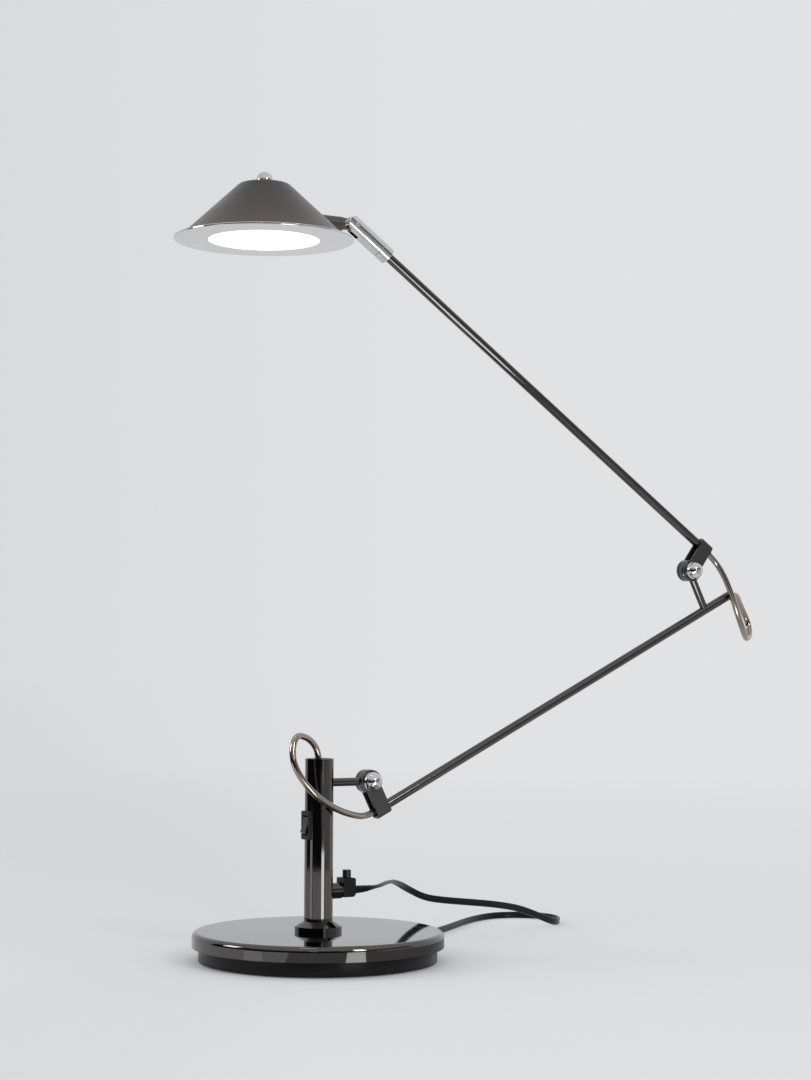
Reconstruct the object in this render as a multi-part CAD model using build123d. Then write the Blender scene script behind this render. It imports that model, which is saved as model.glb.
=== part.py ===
from build123d import *
import math
import os

# Swing arm desk lamp, in millimetres. The origin is the centre of the base's underside and +Z is up. Both
# arms move in the XZ plane, the elbow lies towards +X, the head towards -X, and the front faces -Y.

# Fits and cuts
FIT = 0.02
PLAY = 0.05
LOOSE = 0.2
PAST = 1.0

# Base
BASE_R = 105.0
BASE_TOP = 25.3
COVER_FOOT = 12.9
COVER_EDGE_R = 4.5
COVER_WALL = 1.2
TRAY_R = 99.2
TRAY_WALL = 2.5
TRAY_FLOOR = 1.6
TRAY_LEDGE_BOTTOM = 13.1
TRAY_LEDGE_TOP = 14.5
PAD_R = 94.0
PAD_THICK = 1.2
WEIGHT_R = 96.2
WEIGHT_TOP = 16.0
WEIGHT_BOSS_R = 24.0
NUT_WELL_R = 13.0
NUT_WELL_TOP = 12.0
STUD_R = 4.0
STUD_TOP = 39.0
STUD_CLEARANCE_R = 5.2
BASE_WASHER_R = 12.0
BASE_WASHER_THICK = 1.6
BASE_NUT_R = 7.5
BASE_NUT_THICK = 6.5

# Post
POST_R = 12.0
POST_WALL = 1.5
POST_TOP = 168.0
COLLAR_R = 19.75
COLLAR_BAND = 4.0
COLLAR_TOP = 33.5
COLLAR_TIP = 0.6
INSERT_TOP = 41.0
CAP_THICK = 4.0
CAP_HOLE_R = 3.4

# Rocker switch, on the -X side of the post
SWITCH_Z = 112.8
SWITCH_FACE = 13.2
SWITCH_HALF_WIDE = 6.8
SWITCH_HALF_TALL = 11.8
SWITCH_BODY_HALF_WIDE = 5.6
SWITCH_BODY_HALF_TALL = 9.4
SWITCH_BODY_DEPTH = 9.0
SWITCH_BODY_INSET = 0.5
SWITCH_FLANGE_DEPTH = 6.0
SWITCH_CORNER_R = 1.0
SWITCH_HOLE_GAP = 0.1
ROCKER_HALF_WIDE = 4.2
ROCKER_WELL_HALF_TALL = 8.2
ROCKER_WELL_DEPTH = 6.6
ROCKER_GAP = 0.3
ROCKER_AXIS = 10.6
ROCKER_PIN_R = 0.8
ROCKER_PIN_HALF_LONG = 5.2
# The rocker's side view from its axis, outward and up: its upper half is pressed in
ROCKER_SIDE = [
    (2.3, 6.9),
    (2.7, 0.9),
    (4.9, -5.6),
    (3.3, -7.0),
    (-2.6, -5.0),
    (-3.4, 0.0),
    (-2.6, 5.0),
]

# Mains entry, on the +X side of the post
ENTRY_Z = 57.5
NIPPLE_R = 6.6
NIPPLE_END = 20.6
NIPPLE_THREAD_R = 4.6
NIPPLE_THREAD_START = 8.6
GRIP_END = 31.9
GRIP_HALF_WIDE = 6.6
GRIP_BOTTOM = 52.3
GRIP_TOP = 68.0
GRIP_SCREW_X = 26.6
GRIP_SCREW_R = 3.6
GRIP_SCREW_TALL = 6.6
GRIP_SCREW_SHANK_R = 1.9
GRIP_SCREW_START = 0.4
GRIP_SCREW_EDGE_R = 0.5
GRIP_SLOT_HALF = 0.5
GRIP_SLOT_DEPTH = 1.2
GRIP_FOOT_R = 3.0
GRIP_EDGE = 1.0
CORD_HOLE_R = 3.3

# Mains cord: a tube from inside the nipple to the coil, then the coil, then a tube to the plug
CORD_R = 3.1
CORD_ROUTE = [
    (22, 0, 57.5),
    (42, 0, 57.5),
    (62, 11, 57.6),
    (81, 31, 57.9),
    (98, 50, 57.2),
    (114, 66, 53.0),
    (131, 80, 46.2),
    (151, 83.5, 36.8),
    (173, 83.5, 33.2),
    (198, 85, 30.3),
    (231, 90, 26.0),
    (260, 96.5, 20.5),
    (286, 102.5, 11.5),
    (307, 106.5, 3.2),
    (324, 123, 3.3),
    (328.5, 146, 3.2),
    (319, 167.5, 3.3),
    (299, 179.5, 3.2),
    (275, 178, 3.3),
    (241, 157, 3.2),
    (200, 121.5, 3.3),
    (171, 98.5, 3.2),
    (146, 80, 3.2),
]
COIL_X = 114.0
COIL_Y = 107.4
COIL_INNER_R = 23.6
COIL_OUTER_R = 42.8
COIL_TALL = 7.0
COIL_EDGE_R = 2.0
TAIL_ROUTE = [(84, 96, 6.6), (66, 106, 6.9), (48, 117, 6.8)]
PLUG_LONG = 38.0
PLUG_HALF_WIDE_CORD = 5.0
PLUG_HALF_WIDE_PINS = 12.6
PLUG_THICK = 13.6
PLUG_NECK_END = 13.3
PLUG_NECK_HALF_WIDE = 6.5
PLUG_GRIP_START = 26.6
PLUG_EDGE_R = 1.6
PIN_R = 2.0
PIN_LONG = 19.0
PIN_ROOT = 8.0
PIN_SPACING = 18.6

# Joints of the arms: the shoulder and the elbow share one design
SHOULDER_X = 46.7
SHOULDER_Z = 147.8
LOWER_ANGLE = 26.7
UPPER_ANGLE = 144.36
YOKE_OFFSET = 26.0
DRUM_R = 10.0
DRUM_HALF_WIDE = 3.35
DRUM_EDGE = 0.7
WASHER_R = 9.0
WASHER_INNER = 3.4
YOKE_INNER = 4.02
YOKE_PLATE = 1.9
YOKE_HALF_LONG = 7.0
YOKE_EAR_R = 9.8
YOKE_CORNER_R = 3.2
YOKE_EDGE = 0.3
BOLT_R = 3.0
BOLT_RUN = 0.05
BOLT_HEAD_R = 5.6
BOLT_HEAD_TALL = 2.6
BOLT_HEAD_EDGE_R = 1.6
BOLT_SOCKET_R = 1.7
BOLT_SOCKET_DEPTH = 1.6
BOLT_REACH = 3.5
KNOB_R = 8.3
KNOB_CENTRE = 7.3
KNOB_GAP = 0.3
KNOB_HOLE_REACH = 3.8
STUB_R = 3.5
STUB_THREAD_R = 2.5
STUB_HOLE_R = 2.55
STUB_HOLE_START = 6.0
STUB_THREAD_START = 6.5
STUB_NUT_R = 4.4
STUB_NUT_START = 5.2
STUB_NUT_END = 9.2
ELBOW_STUB_TALL = 40.5

# Arm tubes
TUBE_R = 4.0
TUBE_BORE_R = 3.0
TUBE_BEHIND = 7.6
FOOT_SPACING = 384.3
LOWER_TUBE_END = 416.3
BUSH_R = 3.9
BUSH_HOLE_R = 2.95
BUSH_THICK = 1.0
CABLE_R = 2.8

# Cable loops, each from one housing to the next
SHOULDER_LOOP = [
    (0, 0, 155),
    (0, 0, 172),
    (-11, -3.5, 185),
    (-29, -11.5, 189),
    (-34.5, -16, 170),
    (-28, -20, 153),
    (-13, -20.5, 137.8),
    (6, -16.5, 127),
    (26, -9, 120.8),
]
SHOULDER_LOOP_MOUTH = -15.0
SHOULDER_LOOP_END = -1.0
ELBOW_LOOP_START = 3.0
ELBOW_LOOP_MOUTH = -15.0
ELBOW_LOOP = [
    (419.8, -4.3, 331),
    (426.5, -8, 312.5),
    (433, -9, 293.5),
    (440.5, -7.5, 278.5),
    (450, -0.5, 270),
    (461, 8, 275),
    (462, 12.8, 287.5),
    (452.5, 12, 302.5),
]
ELBOW_LOOP_FAR_MOUTH = 424.0
ELBOW_LOOP_END = 407.5

# Head hinge at the end of the upper arm
HINGE_REACH = 454.8
END_COLLAR_START = 413.8
END_COLLAR_LONG = 10.6
SLEEVE_GAP = 0.3
SLEEVE_R = 7.5
SLEEVE_BORE_R = 4.08
UPPER_TUBE_END = 434.0
SLEEVE_BORE_END = 436.0
FORK_SLOT_HALF = 2.6
FORK_SLOT_DEPTH = 8.6
TONGUE_HALF = 2.35
TONGUE_R = 5.6
TONGUE_HALF_TALL = 5.0
HINGE_PIN_R = 2.0
HINGE_PIN_HALF_LONG = 6.9
HEAD_STUB_R = 6.0
HEAD_STUB_GAP = 11.3
HEAD_STUB_EDGE = 1.2
END_COLLAR_EDGE = 0.4
TONGUE_THREAD_LONG = 9.0
TONGUE_SHOULDER = 0.5

# Head, turned about its own upright axis
HEAD_OFFSET = 85.0
RIM_DROP = 21.3
RIM_R = 75.0
RIM_OPENING_R = 46.6
RIM_THICK = 1.8
RIM_EDGE_R = 0.7
RIM_LIP_R = 48.2
RIM_LIP_TOP = 5.2
DIFFUSER_R = 46.3
DIFFUSER_BOTTOM = 0.3
DIFFUSER_THICK = 3.0
SHADE_FOOT_R = 69.3
SHADE_SHOULDER_R = 20.7
SHADE_TOP = 47.4
SHADE_WALL = 1.2
SHADE_SHOULDER_FILLET = 6.0
BOARD_R = 44.0
BOARD_BOTTOM = 5.3
BOARD_THICK = 1.5
CHIP_RING_R = 30.0
CHIP_COUNT = 16
CHIP_HALF = 1.75
CHIP_THICK = 0.8
SINK_R = 50.0
SINK_TOP = 13.0
SINK_SKIRT_BOTTOM = 3.4
CARRIER_R = 12.0
CARRIER_TOP = 31.0
STUD_HOLE_BOTTOM = 16.0
FINIAL_STUD_BOTTOM = 17.0
HEAD_STUB_START = 8.0
FINIAL_R = 7.0
FINIAL_CENTRE = 50.6
FINIAL_STUD_R = 2.0

RADIUS_SHARE = 0.45
HEX = 6

UPWARD = (Align.CENTER, Align.CENTER, Align.MIN)


def on_circle(radius, degrees):
    """The point at that angle on a circle about the origin."""
    return radius * math.cos(math.radians(degrees)), radius * math.sin(math.radians(degrees))


def arm_frame(x, z, degrees):
    """A frame at (x, z) whose x axis points along an arm, and whose y axis stays the lamp's own."""
    along_x, along_z = on_circle(1.0, degrees)
    return Plane(origin=(x, 0, z), x_dir=(along_x, 0, along_z), z_dir=(-along_z, 0, along_x))


def point_in(frame, x, z):
    """The point at (x, 0, z) of an arm's frame."""
    return frame.from_local_coords(Vector(x, 0, z))


# The frames follow from one another: shoulder, lower arm, elbow, upper arm, head hinge, head.
SHOULDER = Vector(SHOULDER_X, 0, SHOULDER_Z)
LOWER_FOOT = point_in(arm_frame(SHOULDER.X, SHOULDER.Z, LOWER_ANGLE), 0, -YOKE_OFFSET)
LOWER = arm_frame(LOWER_FOOT.X, LOWER_FOOT.Z, LOWER_ANGLE)
ELBOW = point_in(LOWER, FOOT_SPACING, ELBOW_STUB_TALL)
UPPER_FOOT = point_in(arm_frame(ELBOW.X, ELBOW.Z, UPPER_ANGLE), 0, -YOKE_OFFSET)
UPPER = arm_frame(UPPER_FOOT.X, UPPER_FOOT.Z, UPPER_ANGLE)
HINGE = point_in(UPPER, HINGE_REACH, 0)
HEAD = Plane(origin=(HINGE.X - HEAD_OFFSET, 0, HINGE.Z - RIM_DROP), x_dir=(1, 0, 0), z_dir=(0, 0, 1))


def rod(radius, start, end):
    """A cylinder from one point to another."""
    run = Vector(*end) - Vector(*start)
    return Plane(origin=start, z_dir=run) * Cylinder(radius, run.length, align=UPWARD)


def tube(radius, bore, start, end):
    """A round tube from one point to another."""
    return rod(radius, start, end) - rod(bore, start, end)


def across(radius, x, z, front, back):
    """A cylinder along Y, from y = front to y = back."""
    return rod(radius, (x, front, z), (x, back, z))


def lathe(*outline):
    """A solid turned about Z from (radius, height) points."""
    return revolve(Plane.XZ * make_face(Polyline(*outline, close=True)), Axis.Z)


def block(low, high):
    """A box between two corners."""
    size = Vector(*high) - Vector(*low)
    middle = (Vector(*high) + Vector(*low)) * 0.5
    return Pos(middle.X, middle.Y, middle.Z) * Box(size.X, size.Y, size.Z)


def hexagon(radius, start, end):
    """A six-sided bar from one point to another, with its corners at that radius."""
    run = Vector(*end) - Vector(*start)
    return Plane(origin=start, z_dir=run) * extrude(RegularPolygon(radius, HEX), run.length)


def corner_radii(route):
    """The arc at each corner of a cord's route, as large as the two runs beside it allow."""
    radii = []
    for before, corner, after in zip(route, route[1:], route[2:]):
        run_in = Vector(*corner) - Vector(*before)
        run_out = Vector(*after) - Vector(*corner)
        half_turn = math.radians(run_in.get_angle(run_out)) / 2
        radii.append(RADIUS_SHARE * min(run_in.length, run_out.length) / math.tan(half_turn))
    return radii


def cord(name, route, radius):
    """A tube along straight runs joined by tangent arcs."""
    radii = corner_radii(route)
    path = FilletPolyline(*route, radius=radii)
    solid = sweep(Plane(origin=path @ 0, z_dir=path % 0) * Circle(radius), path=path)
    share = solid.volume / (math.pi * radius**2 * path.length)
    print(name, "length", round(path.length, 1), "volume share", round(share, 4))
    print(name, "radii", [round(r, 1) for r in radii])
    return solid


def base_pieces():
    """The cover over its tray, the iron weight between them, and the pad under them."""
    cover = lathe(
        (STUD_CLEARANCE_R, BASE_TOP),
        (BASE_R, BASE_TOP),
        (BASE_R, COVER_FOOT),
        (BASE_R - COVER_WALL, COVER_FOOT),
        (BASE_R - COVER_WALL, BASE_TOP - COVER_WALL),
        (STUD_CLEARANCE_R, BASE_TOP - COVER_WALL),
    )
    rim = cover.edges().filter_by(GeomType.CIRCLE).group_by(Axis.Z)[-1].sort_by(SortBy.RADIUS)[-1]
    cover = fillet(rim, COVER_EDGE_R)
    inner = cover.edges().filter_by(GeomType.CIRCLE).filter_by(
        lambda e: abs(e.radius - BASE_R + COVER_WALL) < FIT and e.center().Z > COVER_FOOT + PAST
    )
    cover = fillet(inner, COVER_EDGE_R - COVER_WALL)
    tray = lathe(
        (NUT_WELL_R, PAD_THICK),
        (TRAY_R, PAD_THICK),
        (TRAY_R, TRAY_LEDGE_BOTTOM),
        (BASE_R - COVER_WALL, TRAY_LEDGE_BOTTOM),
        (BASE_R - COVER_WALL, TRAY_LEDGE_TOP),
        (TRAY_R - TRAY_WALL, TRAY_LEDGE_TOP),
        (TRAY_R - TRAY_WALL, PAD_THICK + TRAY_FLOOR),
        (NUT_WELL_R, PAD_THICK + TRAY_FLOOR),
    )
    weight = lathe(
        (STUD_CLEARANCE_R, BASE_TOP - COVER_WALL),
        (WEIGHT_BOSS_R, BASE_TOP - COVER_WALL),
        (WEIGHT_BOSS_R, WEIGHT_TOP),
        (WEIGHT_R, WEIGHT_TOP),
        (WEIGHT_R, PAD_THICK + TRAY_FLOOR),
        (NUT_WELL_R, PAD_THICK + TRAY_FLOOR),
        (NUT_WELL_R, NUT_WELL_TOP),
        (STUD_CLEARANCE_R, NUT_WELL_TOP),
    )
    return {
        "base_cover": cover,
        "base_tray": tray,
        "base_weight": weight,
        "base_pad": lathe((0, 0), (PAD_R, 0), (PAD_R, PAD_THICK), (0, PAD_THICK)),
    }


def base_fasteners():
    """The stud that pulls the post down on the base, with its washer and nut in the well underneath."""
    washer_bottom = NUT_WELL_TOP - BASE_WASHER_THICK
    nut_bottom = washer_bottom - BASE_NUT_THICK
    stud = rod(STUD_R, (0, 0, nut_bottom), (0, 0, STUD_TOP))
    washer = tube(BASE_WASHER_R, STUD_R + LOOSE, (0, 0, washer_bottom), (0, 0, NUT_WELL_TOP))
    nut = hexagon(BASE_NUT_R, (0, 0, nut_bottom), (0, 0, washer_bottom))
    nut -= rod(STUD_R + FIT, (0, 0, nut_bottom), (0, 0, washer_bottom))
    insert = tube(POST_R - POST_WALL - PLAY, STUD_R + FIT, (0, 0, BASE_TOP), (0, 0, INSERT_TOP))
    return {"post_stud": stud, "base_washer": washer, "base_nut": nut, "post_insert": insert}


def post_pieces():
    """The post with its side holes, the collar round its foot, and the cap with the cable's hole."""
    gap = SWITCH_HOLE_GAP
    post = tube(POST_R, POST_R - POST_WALL, (0, 0, BASE_TOP), (0, 0, POST_TOP))
    post -= block(
        (-POST_R - PAST, -SWITCH_BODY_HALF_WIDE - gap, SWITCH_Z - SWITCH_BODY_HALF_TALL - gap),
        (0, SWITCH_BODY_HALF_WIDE + gap, SWITCH_Z + SWITCH_BODY_HALF_TALL + gap),
    )
    post -= rod(NIPPLE_THREAD_R + PLAY, (0, 0, ENTRY_Z), (POST_R + PAST, 0, ENTRY_Z))
    post -= rod(STUB_HOLE_R, (0, 0, SHOULDER_Z), (POST_R + PAST, 0, SHOULDER_Z))
    collar = lathe(
        (POST_R + PLAY, BASE_TOP),
        (COLLAR_R, BASE_TOP),
        (COLLAR_R, BASE_TOP + COLLAR_BAND),
        (POST_R + COLLAR_TIP, COLLAR_TOP),
        (POST_R + PLAY, COLLAR_TOP),
    )
    cap = tube(POST_R - POST_WALL - PLAY, CAP_HOLE_R, (0, 0, POST_TOP - CAP_THICK), (0, 0, POST_TOP))
    return {"post_tube": post, "post_collar": collar, "post_cap": cap}


def switch_pieces():
    """A housing let into the post with a flange that sits on it, and the rocker on its pin."""
    flange = block(
        (-SWITCH_FACE, -SWITCH_HALF_WIDE, SWITCH_Z - SWITCH_HALF_TALL),
        (-SWITCH_FACE + SWITCH_FLANGE_DEPTH, SWITCH_HALF_WIDE, SWITCH_Z + SWITCH_HALF_TALL),
    )
    flange = fillet(flange.edges().filter_by(Axis.X), SWITCH_CORNER_R)
    flange -= rod(POST_R + FIT, (0, 0, BASE_TOP), (0, 0, POST_TOP))
    body_front = -SWITCH_FACE + SWITCH_BODY_INSET
    body = block(
        (body_front, -SWITCH_BODY_HALF_WIDE, SWITCH_Z - SWITCH_BODY_HALF_TALL),
        (body_front + SWITCH_BODY_DEPTH, SWITCH_BODY_HALF_WIDE, SWITCH_Z + SWITCH_BODY_HALF_TALL),
    )
    well_half_wide = ROCKER_HALF_WIDE + ROCKER_GAP
    well = block(
        (-SWITCH_FACE - PAST, -well_half_wide, SWITCH_Z - ROCKER_WELL_HALF_TALL),
        (-SWITCH_FACE + ROCKER_WELL_DEPTH, well_half_wide, SWITCH_Z + ROCKER_WELL_HALF_TALL),
    )
    half_pin = ROCKER_PIN_HALF_LONG
    pin_hole = across(ROCKER_PIN_R + FIT, -ROCKER_AXIS, SWITCH_Z, -half_pin, half_pin)
    housing = flange + body - well - pin_hole
    side_view = [(-ROCKER_AXIS - out, SWITCH_Z + up) for out, up in ROCKER_SIDE]
    rocker = make_face(Polyline(*side_view, close=True))
    rocker = Plane.XZ * extrude(rocker, ROCKER_HALF_WIDE, both=True)
    rocker -= across(ROCKER_PIN_R + PLAY, -ROCKER_AXIS, SWITCH_Z, -half_pin, half_pin)
    pin = across(ROCKER_PIN_R, -ROCKER_AXIS, SWITCH_Z, -half_pin, half_pin)
    return {"switch_housing": housing, "switch_rocker": rocker, "rocker_pin": pin}


def mains_entry():
    """The nipple screwed into the post, and the grip that clamps the cord behind it."""
    nipple = rod(NIPPLE_R, (0, 0, ENTRY_Z), (NIPPLE_END, 0, ENTRY_Z))
    nipple -= rod(POST_R, (0, 0, BASE_TOP), (0, 0, POST_TOP))
    nipple += rod(NIPPLE_THREAD_R, (NIPPLE_THREAD_START, 0, ENTRY_Z), (NIPPLE_END, 0, ENTRY_Z))
    nipple -= rod(CORD_HOLE_R, (0, 0, ENTRY_Z), (NIPPLE_END + PAST, 0, ENTRY_Z))
    grip = block((NIPPLE_END, -GRIP_HALF_WIDE, GRIP_BOTTOM), (GRIP_END, GRIP_HALF_WIDE, GRIP_TOP))
    grip = fillet(grip.edges().filter_by(Axis.Y).group_by(Axis.Z)[0].sort_by(Axis.X)[-1], GRIP_FOOT_R)
    grip = chamfer(grip.edges().filter_by(Axis.Y).group_by(Axis.Z)[-1].sort_by(Axis.X)[-1], GRIP_EDGE)
    grip -= rod(CORD_HOLE_R, (NIPPLE_END - PAST, 0, ENTRY_Z), (GRIP_END + PAST, 0, ENTRY_Z))
    shank_bottom = ENTRY_Z + CORD_HOLE_R + GRIP_SCREW_START
    grip -= rod(GRIP_SCREW_SHANK_R + FIT, (GRIP_SCREW_X, 0, shank_bottom), (GRIP_SCREW_X, 0, GRIP_TOP + PAST))
    top = GRIP_TOP + GRIP_SCREW_TALL
    screw = rod(GRIP_SCREW_SHANK_R, (GRIP_SCREW_X, 0, shank_bottom + LOOSE), (GRIP_SCREW_X, 0, GRIP_TOP))
    head = rod(GRIP_SCREW_R, (GRIP_SCREW_X, 0, GRIP_TOP), (GRIP_SCREW_X, 0, top))
    head = fillet(head.edges().filter_by(GeomType.CIRCLE), GRIP_SCREW_EDGE_R)
    slot = block(
        (GRIP_SCREW_X - GRIP_SCREW_R, -GRIP_SLOT_HALF, top - GRIP_SLOT_DEPTH),
        (GRIP_SCREW_X + GRIP_SCREW_R, GRIP_SLOT_HALF, top + PAST),
    )
    return {"cord_nipple": nipple, "cord_grip": grip, "cord_grip_screw": screw + (head - slot)}


def plug_pieces():
    """A flat two-pin plug lying on its side beside the coil, wider at its pins than at its cord."""
    heading = Vector(*TAIL_ROUTE[-1]) - Vector(*TAIL_ROUTE[-2])
    at = Plane(origin=TAIL_ROUTE[-1], x_dir=heading, z_dir=(0, 0, 1))
    outline = Polyline(
        (0, -PLUG_HALF_WIDE_CORD),
        (0, PLUG_HALF_WIDE_CORD),
        (PLUG_NECK_END, PLUG_NECK_HALF_WIDE),
        (PLUG_GRIP_START, PLUG_HALF_WIDE_PINS),
        (PLUG_LONG, PLUG_HALF_WIDE_PINS),
        (PLUG_LONG, -PLUG_HALF_WIDE_PINS),
        (PLUG_GRIP_START, -PLUG_HALF_WIDE_PINS),
        (PLUG_NECK_END, -PLUG_NECK_HALF_WIDE),
        close=True,
    )
    body = extrude(make_face(outline), PLUG_THICK / 2, both=True)
    body = fillet(body.edges().filter_by(Plane.XY), PLUG_EDGE_R)
    root = PLUG_LONG - PIN_ROOT
    pins = []
    for side in (-1, 1):
        y = side * PIN_SPACING / 2
        body -= rod(PIN_R + FIT, (root, y, 0), (PLUG_LONG + PAST, y, 0))
        pins.append(rod(PIN_R, (root, y, 0), (PLUG_LONG + PIN_LONG, y, 0)))
    return {"mains_plug": at * body, "plug_pins": at * Compound(children=pins)}


def cord_pieces():
    """The mains cord in its three stretches."""
    coil = tube(COIL_OUTER_R, COIL_INNER_R, (COIL_X, COIL_Y, 0), (COIL_X, COIL_Y, COIL_TALL))
    coil = fillet(coil.edges().filter_by(GeomType.CIRCLE), COIL_EDGE_R)
    return {
        "mains_cord": cord("mains_cord", CORD_ROUTE, CORD_R),
        "cord_coil": coil,
        "cord_tail": cord("cord_tail", TAIL_ROUTE, CORD_R),
    }


def drum(centre, stub_frame):
    """A knuckle drum bored for its bolt, with a hole towards the stub that carries it."""
    solid = across(DRUM_R, centre.X, centre.Z, -DRUM_HALF_WIDE, DRUM_HALF_WIDE)
    solid = chamfer(solid.edges().filter_by(GeomType.CIRCLE), DRUM_EDGE)
    solid -= across(BOLT_R + BOLT_RUN, centre.X, centre.Z, -DRUM_HALF_WIDE - PAST, DRUM_HALF_WIDE + PAST)
    return solid - stub_frame * rod(STUB_HOLE_R, (STUB_HOLE_START, 0, 0), (DRUM_R + PAST, 0, 0))


def stub(frame, reach, housing, thread_reach):
    """A rod from a drum to its housing, coped and threaded at both ends. The frame's x leaves the drum."""
    shaft = rod(STUB_R, (STUB_HOLE_START, 0, 0), (reach, 0, 0))
    shaft -= rod(DRUM_R, (0, -DRUM_R, 0), (0, DRUM_R, 0))
    shaft = frame * shaft
    return shaft - housing + frame * rod(STUB_THREAD_R, (STUB_THREAD_START, 0, 0), (thread_reach, 0, 0))


def washers(centre):
    """The two friction washers between a drum and the ears of its yoke."""
    rings = []
    for side in (-1, 1):
        near = side * (DRUM_HALF_WIDE + PLAY)
        far = side * (YOKE_INNER - FIT)
        ring = across(WASHER_R, centre.X, centre.Z, near, far)
        rings.append(ring - across(WASHER_INNER, centre.X, centre.Z, near, far))
    return Compound(children=rings)


def yoke(frame):
    """A strip bent into a U round the arm tube, with two round ears at the pivot."""
    outer = YOKE_INNER + YOKE_PLATE
    channel = block((-YOKE_EAR_R, -outer, -outer), (YOKE_EAR_R, outer, YOKE_OFFSET + YOKE_EAR_R))
    channel = fillet(channel.edges().filter_by(Axis.X).group_by(Axis.Z)[0], YOKE_CORNER_R)
    channel -= rod(YOKE_INNER, (-YOKE_EAR_R - PAST, 0, 0), (YOKE_EAR_R + PAST, 0, 0))
    channel -= block(
        (-YOKE_EAR_R - PAST, -YOKE_INNER, 0),
        (YOKE_EAR_R + PAST, YOKE_INNER, YOKE_OFFSET + YOKE_EAR_R + PAST),
    )
    strip = Pos(0, (YOKE_OFFSET - outer) / 2) * Rectangle(2 * YOKE_HALF_LONG, YOKE_OFFSET + outer)
    ear = Pos(0, YOKE_OFFSET) * Circle(YOKE_EAR_R)
    outline = extrude(Plane.XZ * (strip + ear), outer, both=True)
    solid = channel & outline
    solid -= across(BOLT_R + FIT, 0, YOKE_OFFSET, -outer - PAST, outer + PAST)
    solid = chamfer(solid.edges().filter_by(Plane.XZ).filter_by(GeomType.LINE).group_by(Axis.Y)[0], YOKE_EDGE)
    return frame * solid


def bolt(centre):
    """The pivot bolt, with a low round head behind the yoke."""
    back = YOKE_INNER + YOKE_PLATE
    shank = across(BOLT_R, centre.X, centre.Z, -KNOB_CENTRE - BOLT_REACH, back)
    head = across(BOLT_HEAD_R, centre.X, centre.Z, back, back + BOLT_HEAD_TALL)
    head = fillet(head.edges().filter_by(GeomType.CIRCLE).group_by(Axis.Y)[-1], BOLT_HEAD_EDGE_R)
    end = back + BOLT_HEAD_TALL
    socket = hexagon(
        BOLT_SOCKET_R, (centre.X, end - BOLT_SOCKET_DEPTH, centre.Z), (centre.X, end + PAST, centre.Z)
    )
    return shank + head - socket


def knob(centre):
    """The domed clamp knob, threaded on the bolt in front of the yoke."""
    front = -YOKE_INNER - YOKE_PLATE - KNOB_GAP
    dome = Pos(centre.X, -KNOB_CENTRE, centre.Z) * Sphere(KNOB_R)
    dome &= block(
        (centre.X - KNOB_R, -KNOB_CENTRE - KNOB_R, centre.Z - KNOB_R),
        (centre.X + KNOB_R, front, centre.Z + KNOB_R),
    )
    return dome - across(BOLT_R + BOLT_RUN, centre.X, centre.Z, -KNOB_CENTRE - KNOB_HOLE_REACH, front + PAST)


def shoulder_pieces():
    """The stub on the post, its nut inside the post, and the shoulder's drum, washers, bolt and knob."""
    frame = Plane(origin=SHOULDER, x_dir=(-1, 0, 0), z_dir=(0, 0, 1))
    nut = hexagon(STUB_NUT_R, (STUB_NUT_START, 0, SHOULDER_Z), (STUB_NUT_END, 0, SHOULDER_Z))
    nut -= rod(STUB_THREAD_R + FIT, (0, 0, SHOULDER_Z), (POST_R, 0, SHOULDER_Z))
    post = rod(POST_R, (0, 0, BASE_TOP), (0, 0, POST_TOP))
    thread_reach = SHOULDER_X - STUB_NUT_START + PAST
    return {
        "shoulder_stub": stub(frame, SHOULDER_X, post, thread_reach),
        "stub_nut": nut,
        "shoulder_drum": drum(SHOULDER, frame),
        "shoulder_washers": washers(SHOULDER),
        "shoulder_bolt": bolt(SHOULDER),
        "shoulder_knob": knob(SHOULDER),
    }


def elbow_pieces():
    """The stub brazed on the lower arm, and the elbow's drum, washers, bolt and knob."""
    frame = Plane(origin=ELBOW, x_dir=-LOWER.z_dir, z_dir=LOWER.x_dir)
    arm = LOWER * rod(TUBE_R, (FOOT_SPACING - DRUM_R, 0, 0), (FOOT_SPACING + DRUM_R, 0, 0))
    return {
        "elbow_stub": stub(frame, ELBOW_STUB_TALL, arm, ELBOW_STUB_TALL - TUBE_BORE_R - LOOSE),
        "elbow_drum": drum(ELBOW, frame),
        "elbow_washers": washers(ELBOW),
        "elbow_bolt": bolt(ELBOW),
        "elbow_knob": knob(ELBOW),
    }


def bush(frame, mouth, outward):
    """A plastic ring on the end of an arm tube, where the cable goes in."""
    return frame * tube(BUSH_R, BUSH_HOLE_R, (mouth, 0, 0), (mouth + outward * BUSH_THICK, 0, 0))


def arm_pieces():
    """Both arms: the yoke, the tube and the bushes in its ends."""
    lower = LOWER * tube(TUBE_R, TUBE_BORE_R, (-TUBE_BEHIND, 0, 0), (LOWER_TUBE_END, 0, 0))
    lower -= LOWER * rod(STUB_HOLE_R, (FOOT_SPACING, 0, 0), (FOOT_SPACING, 0, TUBE_R + PAST))
    upper = UPPER * tube(TUBE_R, TUBE_BORE_R, (-TUBE_BEHIND, 0, 0), (UPPER_TUBE_END, 0, 0))
    lower_bushes = [bush(LOWER, -TUBE_BEHIND, -1), bush(LOWER, LOWER_TUBE_END, 1)]
    return {
        "lower_yoke": yoke(LOWER),
        "lower_arm_tube": lower,
        "lower_arm_bushes": Compound(children=lower_bushes),
        "upper_yoke": yoke(UPPER),
        "upper_arm_tube": upper,
        "upper_arm_bush": bush(UPPER, -TUBE_BEHIND, -1),
    }


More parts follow.
